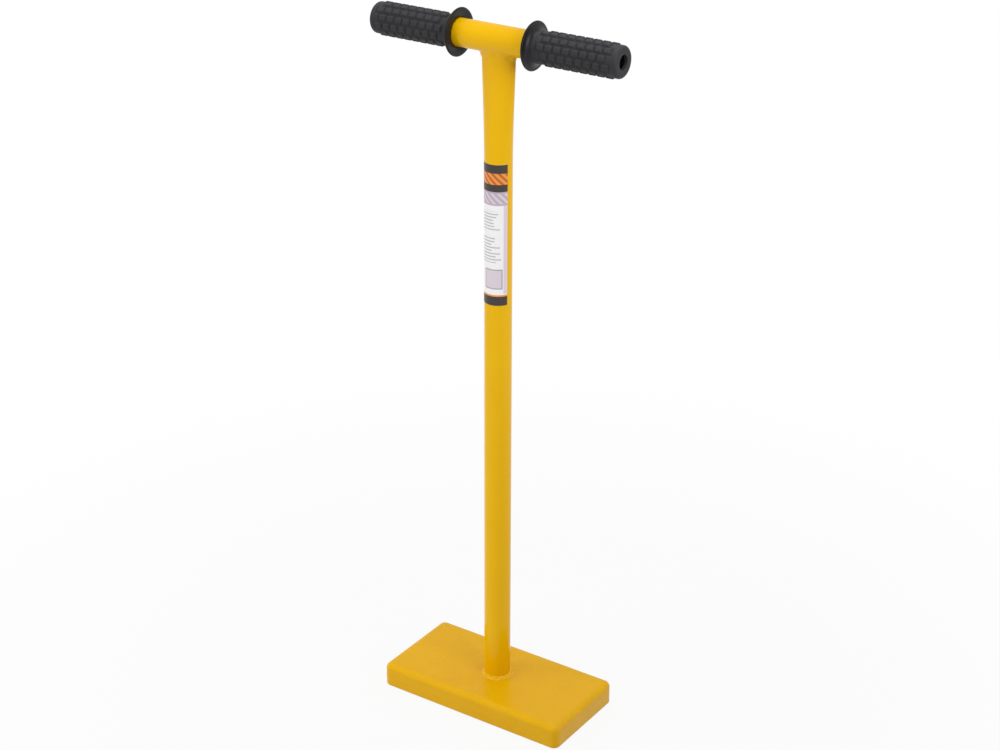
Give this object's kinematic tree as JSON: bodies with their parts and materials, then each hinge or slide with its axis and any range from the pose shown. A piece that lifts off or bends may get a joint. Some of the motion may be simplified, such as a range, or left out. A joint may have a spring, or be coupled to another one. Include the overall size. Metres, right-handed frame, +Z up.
{
  "type": "hand tamper",
  "caption": "Hand tamper: thick rectangular steel plate on an upright tube shaft with a flattened top, welded under a tube crossbar with soft flanged grips.",
  "frame": {"origin": "middle of the plate's underside, on the shaft's axis", "axes": "+Z up along the shaft, +X along the crossbar and the plate's long side, -Y the side with the label"},
  "size_m": [0.32, 0.1284, 0.8622],
  "materials": {
    "yellow_paint": "semi-gloss powder coat on steel",
    "black_grip": "moulded soft PVC, satin",
    "label": "coated printed sticker"
  },
  "bodies": {
    "root": {"base_plate": "yellow_paint", "shaft_tube": "yellow_paint", "foot_weld": "yellow_paint", "crossbar_tube": "yellow_paint", "crossbar_weld": "yellow_paint", "grip_left": "black_grip", "grip_right": "black_grip", "label": "label"}
  },
  "joints": []
}
